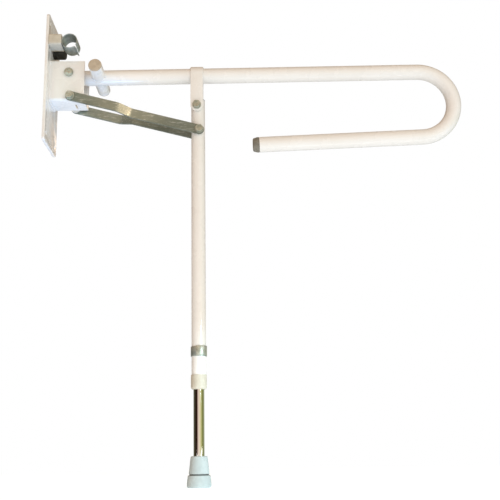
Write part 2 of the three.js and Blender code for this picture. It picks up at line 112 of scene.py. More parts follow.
def loft(name, rings, closed=False):
    """A solid through rings of points. A closed one joins its two end rings, and an open one caps them."""
    count = len(rings[0])
    points = [p for ring in rings for p in ring]
    faces = []
    for i in range(len(rings) if closed else len(rings) - 1):
        a, b = i * count, (i + 1) % len(rings) * count
        for j in range(count):
            k = (j + 1) % count
            faces.append((a + j, a + k, b + k, b + j))
    if not closed:
        faces.append(tuple(range(count)))
        faces.append(tuple(range(len(points) - count, len(points))))
    return mesh_object(name, points, faces)


def across(axis):
    """Two unit vectors at right angles to an axis and to each other."""
    side = (Z if abs(axis.z) < 0.9 else X).cross(axis).normalized()
    return side, axis.cross(side)


def rounded(profile, radius, steps=4):
    """A polyline with its corners rounded. A third number on a point is its own corner radius."""
    made = [Vector(profile[0][:2])]
    for before, here, after in zip(profile, profile[1:], profile[2:]):
        a, p, b = Vector(before[:2]), Vector(here[:2]), Vector(after[:2])
        wanted = here[2] if len(here) > 2 else radius
        reach = min(wanted, (a - p).length * 0.49, (b - p).length * 0.49)
        start, end = p + (a - p).normalized() * reach, p + (b - p).normalized() * reach
        for i in range(steps + 1):
            t = i / steps
            made.append(start * (1 - t) ** 2 + p * 2 * t * (1 - t) + end * t * t)
    made.append(Vector(profile[-1][:2]))
    return made


def turned(name, profile, origin, axis=Z, sides=72):
    """A profile of (radius, height) points turned about an axis. It closes on the axis or on itself."""
    u, v = across(axis)
    rings = []
    for radius, height in profile:
        turns = [2 * math.pi * i / sides for i in range(sides)]
        rings.append([origin + axis * height + (u * math.cos(a) + v * math.sin(a)) * radius for a in turns])
    on_axis = profile[0][0] < 1e-6 and profile[-1][0] < 1e-6
    if not on_axis:
        return loft(name, rings, closed=True)
    return mesh_object(name, [p for r in rings for p in r], ring_faces(len(rings), sides))


def ring_faces(rows, count):
    return [
        (i * count + j, i * count + (j + 1) % count, (i + 1) * count + (j + 1) % count, (i + 1) * count + j)
        for i in range(rows - 1)
        for j in range(count)
    ]


def closed_ring(profile, radius, steps=4):
    """A closed profile with every corner rounded."""
    start = (Vector(profile[0][:2]) + Vector(profile[-1][:2])) / 2
    return rounded([start, *profile, start], radius, steps)[:-1]


def in_plane(point):
    """A point's place in the object's middle plane."""
    return Vector((point.x, 0, point.z))


def heading(a):
    """The unit vector in the middle plane at an angle from +X."""
    return Vector((math.cos(a), 0, math.sin(a)))


def rod(name, centre, radius, y0, y1, sides=48):
    """A plain round tool across the object, for cutting holes."""
    return turned(name, [(0, y0), (radius, y0), (radius, y1), (0, y1)], in_plane(centre), Y, sides)


def drill(name, through, radius, x0, x1, sides=32):
    """A plain round tool along X, for cutting holes that point at the wall."""
    origin = Vector((0, through.y, through.z))
    return turned(name, [(0, x0), (radius, x0), (radius, x1), (0, x1)], origin, X, sides)


def prism(name, outline, start, end):
    """A closed outline of points, moved from start to end."""
    return loft(name, [[p + start for p in outline], [p + end for p in outline]])


def baked(obj):
    """Applies the modifiers of an object."""
    graph = bpy.context.evaluated_depsgraph_get()
    mesh = bpy.data.meshes.new_from_object(obj.evaluated_get(graph))
    obj.modifiers.clear()
    obj.data = mesh
    return obj


def combined(obj, tools, operation):
    for tool in tools:
        modifier = obj.modifiers.new("combine", "BOOLEAN")
        modifier.object, modifier.operation, modifier.solver = tool, operation, "EXACT"
        bpy.context.view_layer.update()
        baked(obj)
        bpy.data.objects.remove(tool)
    return obj


def cut(obj, *tools):
    return combined(obj, tools, "DIFFERENCE")


def common(obj, tool):
    return combined(obj, [tool], "INTERSECT")


def joined(obj, *others):
    return combined(obj, others, "UNION")


def softened(obj, width, segments=2, angle=40):
    """Rounds an object's sharp edges."""
    bevel = obj.modifiers.new("edges", "BEVEL")
    bevel.width, bevel.segments = width, segments
    bevel.limit_method, bevel.angle_limit = "ANGLE", math.radians(angle)
    bevel.use_clamp_overlap = True
    bpy.context.view_layer.update()
    return baked(obj)


def smoothed(obj, angle=32):
    """Smooth shading, with edges kept sharp above an angle."""
    obj.data.shade_smooth()
    obj.data.set_sharp_from_angle(angle=math.radians(angle))
    return obj


# ---- Nodes of the materials ----
def feed(socket, value):
    """Links a socket to another node's output, or sets it to a constant. A colour gets its alpha."""
    if hasattr(value, "links"):
        socket.id_data.links.new(value, socket)
    else:
        socket.default_value = (*value, 1) if socket.type == "RGBA" else value


def set_stops(ramp, stops):
    """Sets the stops of a colour ramp. A plain number stands for a grey."""
    elements = ramp.color_ramp.elements
    while len(elements) < len(stops):
        elements.new(0.5)
    for element, (position, colour) in zip(elements, stops):
        element.position = position
        element.color = (*colour, 1) if hasattr(colour, "__len__") else (colour, colour, colour, 1)


class Paint:
    """A procedural material: its shader, and the textures that feed it, all in object space."""

    def __init__(self, name, **sockets):
        self.material = bpy.data.materials.new(name)
        self.material.use_nodes = True
        self.tree = self.material.node_tree
        self.shader = self.tree.nodes["Principled BSDF"]
        for socket, value in sockets.items():
            self.shader.inputs[socket.replace("_", " ")].default_value = value
        self.place = self.tree.nodes.new("ShaderNodeTexCoord").outputs["Object"]

    def node(self, kind, **inputs):
        made = self.tree.nodes.new(kind)
        for name, value in inputs.items():
            feed(made.inputs[name.replace("_", " ")], value)
        return made

    def stretched(self, scale):
        """Object space, stretched by a scale for each axis."""
        return self.node("ShaderNodeMapping", Vector=self.place, Scale=scale).outputs["Vector"]

    def noise(self, scale, detail=4, roughness=0.55, space=None):
        made = self.node("ShaderNodeTexNoise", Vector=space or self.place, Scale=scale)
        made.inputs["Detail"].default_value = detail
        made.inputs["Roughness"].default_value = roughness
        return made.outputs["Fac"]

    def ramp(self, value, *stops):
        made = self.node("ShaderNodeValToRGB", Fac=value)
        set_stops(made, stops)
        return made.outputs["Color"]

    def mix(self, factor, a, b):
        made = self.tree.nodes.new("ShaderNodeMix")
        made.data_type = "RGBA"
        for index, value in ((0, factor), (6, a), (7, b)):
            feed(made.inputs[index], value)
        return made.outputs[2]

    def math(self, operation, *values):
        made = self.tree.nodes.new("ShaderNodeMath")
        made.operation = operation
        for socket, value in zip(made.inputs, values):
            feed(socket, value)
        return made.outputs[0]

    def colour(self, value):
        feed(self.shader.inputs["Base Color"], value)

    def roughness(self, value, smooth, rough):
        """Roughness that follows a texture, from smooth to rough."""
        feed(self.shader.inputs["Roughness"], self.ramp(value, (0.3, smooth), (0.7, rough)))

    def bump(self, value, strength, distance):
        made = self.node("ShaderNodeBump", Height=value, Strength=strength, Distance=distance)
        before = self.shader.inputs["Normal"].links
        if before:
            feed(made.inputs["Normal"], before[0].from_socket)
        feed(self.shader.inputs["Normal"], made.outputs["Normal"])


def powder_coat():
    """Glossy white powder coat with orange peel, faint yellowing and a little grime."""
    paint = Paint("white_powder_coat", Coat_Weight=0.6, Coat_Roughness=0.08, Specular_IOR_Level=0.5)
    tone = paint.ramp(paint.noise(9, 3), (0.3, (0.86, 0.845, 0.815)), (0.7, (0.90, 0.89, 0.87)))
    grime = paint.ramp(paint.noise(60, 8, 0.65), (0.62, 0.0), (0.82, 0.25))
    paint.colour(paint.mix(grime, tone, (0.74, 0.70, 0.62)))
    paint.roughness(paint.noise(30, 4), 0.2, 0.34)
    paint.bump(paint.noise(900, 2), 0.12, 0.0002)
    paint.bump(paint.noise(160, 2), 0.08, 0.0004)
    return paint.material


def strut_paint():
    """Grey-green satin paint, scratched along the bar and worn to pale metal in flecks."""
    paint = Paint("strut_paint", Metallic=0.25, Specular_IOR_Level=0.5)
    along = paint.stretched((9, 90, 90))
    tone = paint.ramp(paint.noise(25, 5), (0.3, (0.145, 0.165, 0.13)), (0.7, (0.215, 0.235, 0.19)))
    scratches = paint.ramp(paint.noise(7, 9, 0.7, along), (0.55, 0.0), (0.61, 0.7))
    flecks = paint.ramp(paint.noise(420, 6, 0.7), (0.68, 0.0), (0.74, 0.6))
    worn = paint.mix(scratches, tone, (0.46, 0.48, 0.43))
    paint.colour(paint.mix(flecks, worn, (0.45, 0.44, 0.38)))
    paint.roughness(paint.noise(80, 6), 0.38, 0.6)
    paint.bump(paint.noise(500, 4), 0.15, 0.0002)
    return paint.material


def zinc_plate():
    """Yellow-passivated zinc: a dull metal with a drifting greenish tint."""
    paint = Paint("zinc_plate", Metallic=0.7)
    drift = paint.noise(140, 4)
    tints = (0.25, (0.30, 0.33, 0.27)), (0.5, (0.50, 0.52, 0.44)), (0.75, (0.74, 0.75, 0.68))
    paint.colour(paint.ramp(drift, *tints))
    paint.roughness(paint.noise(600, 5), 0.24, 0.46)
    paint.bump(paint.noise(1800, 3), 0.1, 0.0001)
    return paint.material


def spring_steel():
    """Cold-rolled spring steel with fine rolling lines and a blue-green cast."""
    paint = Paint("spring_steel", Metallic=0.75)
    rolled = paint.stretched((60, 60, 1600))
    tone = paint.noise(90, 4)
    paint.colour(paint.ramp(tone, (0.3, (0.34, 0.40, 0.38)), (0.7, (0.58, 0.63, 0.60))))
    paint.roughness(paint.noise(3, 4, 0.6, rolled), 0.3, 0.5)
    paint.bump(paint.noise(4, 3, 0.6, rolled), 0.08, 0.0001)
    return paint.material


def chrome_plate():
    """Bright chrome with faint wiping marks."""
    paint = Paint("chrome_plate", Metallic=1.0)
    marks = paint.stretched((90, 90, 14))
    wiped = paint.noise(5, 4, 0.6, marks)
    paint.colour(paint.ramp(wiped, (0.3, (0.80, 0.79, 0.75)), (0.7, (0.88, 0.87, 0.84))))
    paint.roughness(paint.noise(6, 6, 0.6, marks), 0.03, 0.09)
    return paint.material


def moulded(name, dark, light, rough=(0.42, 0.58), fleck=None):
    """Moulded plastic with a fine texture, and flecks of another colour where it has them."""
    paint = Paint(name, Specular_IOR_Level=0.45)
    tone = paint.ramp(paint.noise(120, 5), (0.3, dark), (0.7, light))
    if fleck:
        tone = paint.mix(paint.ramp(paint.noise(900, 3), (0.6, 0.0), (0.68, 0.7)), tone, fleck)
    paint.colour(tone)
    paint.roughness(paint.noise(260, 4), *rough)
    paint.bump(paint.noise(1400, 3), 0.18, 0.0002)
    return paint.material


def foot_rubber():
    """Pale grey rubber, matt, with a few scuffs, and painted shade that darkens the groove."""
    paint = Paint("foot_rubber", Specular_IOR_Level=0.3)
    tone = paint.ramp(paint.noise(70, 5), (0.3, (0.42, 0.48, 0.48)), (0.7, (0.52, 0.58, 0.58)))
    scuffs = paint.ramp(paint.noise(40, 9, 0.75), (0.62, 0.0), (0.72, 0.35))
    groove, reach = low("foot_ferrule").z + FOOT_GROOVE, 2 * MM
    height = paint.node("ShaderNodeSeparateXYZ", Vector=paint.place).outputs["Z"]
    apart = paint.math("ABSOLUTE", paint.math("SUBTRACT", height, groove))
    # Painted shade: a near-black band darkens the rubber in and around the groove.
    groove_shade = paint.ramp(paint.math("MULTIPLY", apart, 1 / reach), (0.45, 0.85), (0.75, 0.0))
    paint.colour(paint.mix(groove_shade, paint.mix(scuffs, tone, (0.36, 0.35, 0.31)), (0.06, 0.06, 0.055)))
    paint.roughness(paint.noise(300, 4), 0.6, 0.85)
    paint.bump(paint.noise(1100, 4), 0.25, 0.0003)
    return paint.material


MOULDED = {
    "beige_plastic": {"dark": (0.46, 0.38, 0.28), "light": (0.60, 0.51, 0.39), "fleck": (0.27, 0.21, 0.15)},
    "warm_grey_plastic": {"dark": (0.55, 0.51, 0.42), "light": (0.66, 0.62, 0.52)},
    "dark_grey_plastic": {
        "dark": (0.17, 0.16, 0.13), "light": (0.26, 0.245, 0.205), "fleck": (0.4, 0.38, 0.32),
    },
    "nylon": {"dark": (0.74, 0.72, 0.67), "light": (0.82, 0.81, 0.77), "rough": (0.3, 0.45)},
    "black_rubber": {"dark": (0.028, 0.026, 0.02), "light": (0.05, 0.047, 0.036), "rough": (0.6, 0.8)},
}
FINISH = {
    "white_powder_coat": powder_coat(),
    "strut_paint": strut_paint(),
    "zinc_plate": zinc_plate(),
    "spring_steel": spring_steel(),
    "chrome_plate": chrome_plate(),
    "foot_rubber": foot_rubber(),
    **{name: moulded(name, **look) for name, look in MOULDED.items()},
}


# ---- Fitting a piece to the frame ----
def dressed(obj, node, slot=None):
    """Gives a piece the body of a CAD node, and the finish of its slot unless another slot is named."""
    slot = slot or SLOT_OF[node]
    obj.data.materials.clear()
    obj.data.materials.append(FINISH[slot])
    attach(obj, BODY_OF[node])
    return obj


def stands_for(obj, node):
    """The piece takes a CAD node's place."""
    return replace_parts(dressed(smoothed(obj), node), node)


def carry_over(*nodes):
    """These CAD nodes stay as they are, with their finish."""
    for node in nodes:
        obj = frame["nodes"][node]
        obj.data.materials.clear()
        obj.data.materials.append(FINISH[SLOT_OF[node]])


def bead(name, path, radius, node):
    """A weld bead along a path, with the small ripples of its passes."""
    sides, rings = 10, []
    for i, p in enumerate(path):
        ahead = (path[min(i + 1, len(path) - 1)] - path[max(i - 1, 0)]).normalized()
        u, v = across(ahead)
        r = radius * (1 + 0.10 * math.sin(i * 2.1) + 0.05 * math.sin(i * 0.9))
        turns = [2 * math.pi * k / sides for k in range(sides)]
        rings.append([p + (u * math.cos(a) + v * math.sin(a)) * r for a in turns])
    return dressed(smoothed(loft(name, rings), 60), node)


# ---- Fasteners ----
def thread(radius, start, end, pitch=1.25 * MM, depth=0.55 * MM):
    """The profile of a screw thread, as grooves from start to end."""
    turns = max(1, int((end - start) / pitch))
    step = (end - start) / turns
    made = []
    for i in range(turns):
        made += [(radius - depth, start + step * i), (radius, start + step * (i + 0.5))]
    return [*made, (radius - depth, end)]


def hex_outline(centre, across_flats):
    """A hexagon in the middle plane, with two corners at the height of its centre."""
    corner = across_flats / 2 / math.cos(math.pi / 6)
    turns = [math.pi / 3 * i for i in range(6)]
    return [Vector((centre.x + corner * math.cos(a), 0, centre.z + corner * math.sin(a))) for a in turns]


def hexagon(name, centre, across_flats, y0, y1, chamfered):
    """A hexagon across the object. chamfered holds the ends that are turned down, out of y0 and y1."""
    r = across_flats / 2
    big, drop = r * 1.16, r * 0.12
    outline = hex_outline(centre, across_flats)
    body = prism(name, outline, Y * y0, Y * y1)
    first = [(r * 0.97, y0), (big, y0 + drop)] if y0 in chamfered else [(big, y0)]
    last = [(big, y1 - drop), (r * 0.97, y1)] if y1 in chamfered else [(big, y1)]
    barrel = turned("barrel", [(0, y0), *first, *last, (0, y1)], in_plane(centre), Y, 48)
    return common(body, barrel)


def shank(name, centre, radius, y0, y1, threaded_from):
    """A bolt's shank from y0 to its tip at y1, threaded from a place on."""
    profile = [(0, y0), (radius, y0), (radius, threaded_from)]
    profile += thread(radius, threaded_from, y1 - 0.6 * MM)
    profile += [(radius - 1.1 * MM, y1), (0, y1)]
    return turned(name, profile, in_plane(centre), Y, 40)


def hex_bolt(node, centre, nut):
    """A hex bolt, its head on the near side: a washer face, a dished and chamfered head, a threaded tip."""
    lo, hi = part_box(node)
    across_flats = hi.z - lo.z
    head = 5.5 * MM
    under = lo.y + head
    made = hexagon(f"{node}.v", centre, across_flats, lo.y, under - 0.4 * MM, (lo.y,))
    made = joined(made, rod("face", centre, across_flats * 0.47, under - MM, under))
    top, floor_y = lo.y - MM, lo.y + 0.9 * MM
    dish = [(0, top), (4.6 * MM, top), (4.0 * MM, floor_y), (0, floor_y)]
    made = cut(made, turned("dish", dish, in_plane(centre), Y, 40))
    made = softened(made, 0.18 * MM, 2)
    core = shank("core", centre, size_of_shank(node), under - 2 * MM, hi.y, low(nut).y)
    return stands_for(joined(made, core), node)


def size_of_shank(node):
    """The radius of a bolt's shank. The rail's own pivot has the thicker bolt."""
    return (5 if node == "rail_pivot_bolt" else 4) * MM


def dome_bolt(node, centre, nut):
    """The rail's pivot bolt: a button head with a hexagon socket."""
    lo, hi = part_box(node)
    r = (hi.z - lo.z) / 2
    under = lo.y + 5 * MM
    dome = [(r * math.sin(a), under - 1.5 * MM - 3.5 * MM * math.cos(a)) for a in
            [math.pi / 2 * i / 10 for i in range(11)]]
    profile = [*dome, (r, under - 0.3 * MM), (r - 0.3 * MM, under), (0, under)]
    head = turned(f"{node}.v", profile, in_plane(centre), Y, 64)
    socket = prism("socket", hex_outline(centre, 6 * MM), Y * (lo.y - MM), Y * (lo.y + 2.4 * MM))
    head = softened(cut(head, socket), 0.2 * MM, 2, 50)
    core = shank("core", centre, size_of_shank(node), under - 2 * MM, hi.y, low(nut).y)
    return stands_for(joined(head, core), node)


def lock_nut(node, centre, bolt):
    """A lock nut: a chamfered hexagon with a round collar that holds its nylon ring."""
    lo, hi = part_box(node)
    across_flats = hi.z - lo.z
    collar = lo.y + (hi.y - lo.y) * 0.68
    made = hexagon(f"{node}.v", centre, across_flats, lo.y, collar, (lo.y, collar))
    r = across_flats / 2
    dome = rounded([(0, collar - MM), (r * 0.93, collar - MM), (r * 0.93, hi.y), (0, hi.y)], 0.9 * MM)
    made = joined(made, turned("collar", dome, in_plane(centre), Y, 48))
    bore = rod("bore", centre, size_of_shank(bolt) + 0.3 * MM, lo.y - MM, hi.y + MM)
    return stands_for(softened(cut(made, bore), 0.15 * MM, 2), node)


def ring_piece(node, centre, inner, radius=0.3 * MM):
    """A washer, spacer or bush with rounded edges, as wide and long as its CAD node."""
    lo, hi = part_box(node)
    outer = (hi.z - lo.z) / 2
    profile = closed_ring([(inner, lo.y), (outer, lo.y), (outer, hi.y), (inner, hi.y)], radius)
    return stands_for(turned(f"{node}.v", profile, in_plane(centre), Y), node)


def fasten(name, centre, head):
    """A bolt, its nut and its two washers."""
    bolt, nut = f"{name}_bolt", f"{name}_nut"
    head(bolt, centre, nut)
    lock_nut(nut, centre, bolt)
    for side in SIDES:
        ring_piece(f"{name}_washer_{side}", centre, size_of_shank(bolt) + 0.3 * MM)


# ---- Wall side ----
def rounded_rectangle(half_y, half_z, r, steps=8):
    """An outline in Y and Z with round corners."""
    points = []
    for k, (sy, sz) in enumerate(((1, -1), (1, 1), (-1, 1), (-1, -1))):
        corner = Vector((0, sy * (half_y - r), sz * (half_z - r)))
        for i in range(steps + 1):
            a = math.pi / 2 * (k - 1 + i / steps)
            points.append(corner + Vector((0, math.cos(a), math.sin(a))) * r)
    return points


def wall_plate():
    """A steel plate with rounded corners and four screw holes, its edges dulled by the coat."""
    node = "wall_plate"
    half = size(node) / 2
    plate = prism(f"{node}.v", rounded_rectangle(half.y, half.z, 6 * MM), Vector(), X * high(node).x)
    for y in (-38, 38):
        for z in (-109, 109):
            plate = cut(plate, drill("hole", Vector((0, y, z)) * MM, 4 * MM, -MM, 6 * MM, 40))
    stands_for(softened(plate, 0.6 * MM, 3), node)


def u_section(half, sheet, bend, bottom, top, steps=8):
    """The hinge channel's section in Y and Z: two cheeks and a web, with round bends."""
    def arc(sign, r):
        turns = [math.pi / 2 * i / steps for i in range(steps + 1)]
        made = [Vector((0, sign * (half - bend + r * math.cos(a)), bottom + bend - r * math.sin(a)))
                for a in turns]
        return made if sign > 0 else made[::-1]

    outer = [Vector((0, half, top)), *arc(1, bend), *arc(-1, bend), Vector((0, -half, top))]
    inner = [Vector((0, half - sheet, top)), *arc(1, bend - sheet), *arc(-1, bend - sheet),
             Vector((0, sheet - half, top))]
    return outer, inner


def hinge_channel():
    """The bent channel that holds both pivots, its drain slot, and the weld that fixes it to the plate."""
    node = "hinge_channel"
    lo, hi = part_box(node)
    outer, inner = u_section(hi.y, SHEET, 5 * MM, lo.z, hi.z)
    channel = prism(f"{node}.v", outer + inner[::-1], X * lo.x, X * hi.x)
    reach = hi.y + MM
    slot_centre, slot_r, half_slot = Vector((STRUT_PIVOT.x + 6 * MM, 6 * MM, lo.z)), 1.5 * MM, 9 * MM
    slot = []
    for i in range(20):
        a = math.pi / 10 * (i + 0.5)
        end = slot_centre + Y * math.copysign(half_slot, math.sin(a))
        slot.append(end + Vector((math.cos(a), math.sin(a), 0)) * slot_r)
    channel = cut(
        channel,
        rod("hole", RAIL_PIVOT, 5.3 * MM, -reach, reach),
        rod("hole", STRUT_PIVOT, BOLT_HOLE, -reach, reach),
        prism("slot", slot, Z * -4 * MM, Z * 6 * MM),
    )
    stands_for(softened(channel, 0.45 * MM, 3), node)
    run = [p for a, b in zip(outer, outer[1:]) for p in stepped(a, b, 2.5 * MM)] + [outer[-1]]
    weld = [Vector((lo.x + 0.5 * MM, p.y, p.z)) for p in run]
    bead("channel_weld", weld, 1.9 * MM, node)


def stepped(a, b, step):
    """Points from a up to but not including b, about a step apart."""
    count = max(1, round((b - a).length / step))
    return [a.lerp(b, i / count) for i in range(count)]


def clip_path(centre, radius, lip, steps=56):
    """The clip's strip in X and Z: nearly a full ring, open low in front, with small lips turned out."""
    first, last = math.radians(-30), math.radians(303)
    turns = [first + (last - first) * i / steps for i in range(steps + 1)]
    ring = [centre + heading(a) * radius for a in turns]

    def turned_out(end, ahead, sign, length, parts=6):
        made = []
        for i in range(1, parts + 1):
            a = sign * math.radians(78) * min(1.0, i / parts * 1.6)
            ahead_now = Vector((ahead.x * math.cos(a) - ahead.z * math.sin(a), 0,
                                ahead.x * math.sin(a) + ahead.z * math.cos(a)))
            end = end + ahead_now * length / parts
            made.append(end)
        return made

    start = turned_out(ring[0], (ring[0] - ring[1]).normalized(), 1, lip * 0.15)
    tail = turned_out(ring[-1], (ring[-1] - ring[-2]).normalized(), -1, lip * 0.8)
    return [*reversed(start), *ring, *tail]


def strip(name, path, thick, y0, y1):
    """A strip of sheet along a path in X and Z, from y0 to y1, with its edges slightly rounded."""
    rings = []
    soft = thick * 0.3
    for i, p in enumerate(path):
        ahead = (path[min(i + 1, len(path) - 1)] - path[max(i - 1, 0)]).normalized()
        out = ahead.cross(Y).normalized() * thick / 2
        corners = []
        for n, y, s in ((-1, y0, 1), (1, y0, 1), (1, y1, -1), (-1, y1, -1)):
            edge, face = Vector((p.x, y, p.z)) + out * n * 0.4, Vector((p.x, y + s * soft, p.z)) + out * n
            corners += [face, edge] if (n, s) in ((-1, 1), (1, -1)) else [edge, face]
        rings.append(corners)
    return loft(name, rings)


def parking_clip():
    """The sprung clip that catches the near cross stub."""
    node = "parking_clip"
    lo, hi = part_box(node)
    thick, lip = 1.5 * MM, 8 * MM
    radius = hi.x - lo.x - lip - thick / 2
    centre = Vector((lo.x + thick / 2 + radius, 0, middle(node).z))
    clip = strip(f"{node}.v", clip_path(centre, radius, lip), thick, lo.y, hi.y)
    stands_for(cut(clip, drill("hole", middle(node), 2.3 * MM, lo.x - 9 * MM, lo.x + 9 * MM)), node)


def clip_standoff():
    """The moulded block behind the clip, with a pilot hole for the screw."""
    node = "clip_standoff"
    lo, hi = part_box(node)
    half, centre = size(node) / 2, middle("parking_clip")
    at = Vector((0, centre.y, middle(node).z))
    outline = [p + at for p in rounded_rectangle(half.y, half.z, 4 * MM)]
    block = prism(f"{node}.v", outline, X * lo.x, X * hi.x)
    block = cut(block, drill("pilot", centre, 1.8 * MM, hi.x - 16 * MM, hi.x + MM))
    stands_for(softened(block, 0.8 * MM, 3), node)


def clip_screw():
    """The screw that holds the clip on its block."""
    node = "clip_screw"
    lo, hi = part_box(node)
    head_r, core = (hi.z - lo.z) / 2, 1.5 * MM
    seat = hi.x - 0.35 * MM
    grooves = thread(core, lo.x + 1.2 * MM, seat - 3 * MM, 0.9 * MM, 0.3 * MM)
    profile = [(0, lo.x), (0.6 * MM, lo.x), *grooves, (core, seat), (head_r, seat),
               (head_r * 0.85, hi.x - 0.05 * MM), (0, hi.x)]
    centre = middle("parking_clip")
    stands_for(turned(f"{node}.v", profile, Vector((0, centre.y, centre.z)), X, 40), node)


def rail_buffer():
    """The rubber buffer on the plate: a domed round block with a fixing recess and two shallow grooves. This
    dark block stands for painted shade in the gap below the clip.
    """
    node = "rail_buffer"
    lo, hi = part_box(node)
    r = (hi.z - lo.z) / 2
    groove, step = 0.7 * MM, 4.5 * MM
    profile = [(0, lo.x), (r, lo.x, 0.8 * MM)]
    for x in (lo.x + step, lo.x + 2 * step):
        profile += [(r, x - groove), (r - groove, x), (r, x + groove)]
    profile += [(r, hi.x, 5 * MM), (5 * MM, hi.x, 0.8 * MM), (5 * MM, hi.x - 4 * MM), (0, hi.x - 4 * MM)]
    # Painted shade: a dark block set where the gap below the clip holds only shade.
    made = turned(f"{node}.v", rounded(profile, 0.3 * MM, 6), Vector((0, 0, (lo.z + hi.z) / 2)), X)
    stands_for(made, node)


# ---- Rail ----
RAIL_R, RAIL_WALL, BEND_R = 14.3 * MM, 1.8 * MM, 66 * MM
RISE, BEND = math.radians(0.7), math.radians(178.4)
END_CAP = {"cap": 11.5 * MM, "spigot": 14 * MM}


def rail_z(x):
    """The height of the upper run's axis. It passes through the pivot and climbs away from the wall."""
    return RAIL_PIVOT.z + (x - RAIL_PIVOT.x) * math.tan(RISE)


def rail_end():
    """The point where the rail's return run ends, and the way it points."""
    _, at, ahead = bend_points()[-1]
    x = low("rail_end_cap").x - (END_CAP["cap"] + GAP) * ahead.x
    return at + ahead * ((x - at.x) / ahead.x), ahead


def bend_points(steps=56):
    """Stations round the bend: how far round, the point, and the heading."""
    bend_x = high("rail_tube").x - RAIL_R - BEND_R * (1 + math.sin(RISE))
    centre = Vector((bend_x + BEND_R * math.sin(RISE), 0, rail_z(bend_x) - BEND_R * math.cos(RISE)))
    made = []
    for i in range(steps + 1):
        a = RISE - BEND * i / steps
        made.append((i / steps, centre + Vector((-math.sin(a), 0, math.cos(a))) * BEND_R, heading(a)))
    return made


def rail_stations():
    """How far round the bend, the point and the heading, all along the rail."""
    start = low("rail_tube").x
    bend = bend_points()
    first, last = bend[0], bend[-1]
    end, ahead = rail_end()
    before, after = first[1] - first[2] * 2 * MM, last[1] + ahead * 2 * MM
    return [(0, Vector((start, 0, rail_z(start))), heading(RISE)), (0, before, first[2]), *bend,
            (1, after, ahead), (1, end, ahead)]


def rail_tube(sides=64):
    """The grab rail, slightly flattened round its bend as a bent tube is, with rounded open ends."""
    node = "rail_tube"
    stations = rail_stations()
    turns = [2 * math.pi * k / sides for k in range(sides)]

    def ring(station, radius, shift=0.0):
        around, at, ahead = station
        squash = 1 - 0.02 * math.sin(math.pi * around)
        inward, centre = Y.cross(ahead) * squash, at + ahead * shift
        return [centre + (Y * math.cos(a) + inward * math.sin(a)) * radius for a in turns]

    soft = 0.5 * MM
    outer = [ring(s, RAIL_R) for s in stations]
    outer[0], outer[-1] = ring(stations[0], RAIL_R, soft), ring(stations[-1], RAIL_R, -soft)
    inner = [ring(s, RAIL_R - RAIL_WALL) for s in stations]
    tube = loft(f"{node}.v", [ring(stations[0], RAIL_R - soft), *outer, ring(stations[-1], RAIL_R - soft),
                              *inner[::-1]], closed=True)
    tube = cut(tube, rod("bore", RAIL_PIVOT, 8.3 * MM, -20 * MM, 20 * MM, 64))
    stands_for(tube, node)


def end_plug(node, origin, axis, tube_r, cap, spigot, spigot_r, shoulder=0.55):
    """A tube plug: a crowned cap with a fine lip outside, and a ribbed spigot inside."""
    profile = rounded([
        (0, -spigot), (spigot_r, -spigot), (spigot_r, 0), (tube_r, 0), (tube_r, cap * shoulder, cap * 0.5),
        (tube_r * 0.84, cap * 0.97, cap * 0.5), (tube_r * 0.6, cap), (0, cap),
    ], 0.3 * MM, 5)
    stands_for(turned(f"{node}.v", profile, origin, axis), node)


def rail_fittings():
    """The rail's end cap, and its two parking stubs with their caps and welds."""
    end, ahead = rail_end()
    end_plug("rail_end_cap", end + ahead * GAP, ahead, RAIL_R, END_CAP["cap"], END_CAP["spigot"],
             RAIL_R - RAIL_WALL - GAP, shoulder=0.3)
    for side, sign in SIDES.items():
        stub, cap = f"park_stub_{side}", f"park_stub_cap_{side}"
        centre, stub_r = middle(stub), size(stub).x / 2
        foot = Vector((centre.x, 0, rail_z(centre.x)))
        park_stub(stub, foot, stub_r, sign, max(abs(low(stub).y), abs(high(stub).y)))
        seat = max(abs(low(cap).y), abs(high(cap).y)) - 2 * MM
        end_plug(cap, foot + Y * sign * seat, Y * sign, stub_r, 2 * MM, 9 * MM, stub_r - 1.9 * MM)


def park_stub(node, centre, stub_r, sign, end, sides=72):
    """A tube whose inner end is scribed to the round of the rail, with a weld bead where they meet."""
    wall, soft = 1.6 * MM, 0.4 * MM
    turns = [2 * math.pi * k / sides for k in range(sides)]

    def on_rail(radius, clear):
        made = []
        for a in turns:
            dx, dz = radius * math.cos(a), radius * math.sin(a)
            off = dz * math.cos(RISE) - dx * math.sin(RISE)
            made.append(centre + Vector((dx, sign * math.sqrt((RAIL_R + clear) ** 2 - off**2), dz)))
        return made

    def flat(radius, y):
        return [centre + Vector((radius * math.cos(a), sign * y, radius * math.sin(a))) for a in turns]

    bore = stub_r - wall
    rings = [on_rail(stub_r, GAP), flat(stub_r, end - soft), flat(stub_r - soft, end), flat(bore, end),
             on_rail(bore, GAP)]
    stands_for(loft(f"{node}.v", rings, closed=True), node)
    seam = on_rail(stub_r + 0.5 * MM, 0.5 * MM)
    bead(f"{node}_weld", [*seam, seam[0], seam[1]], 1.5 * MM, node)


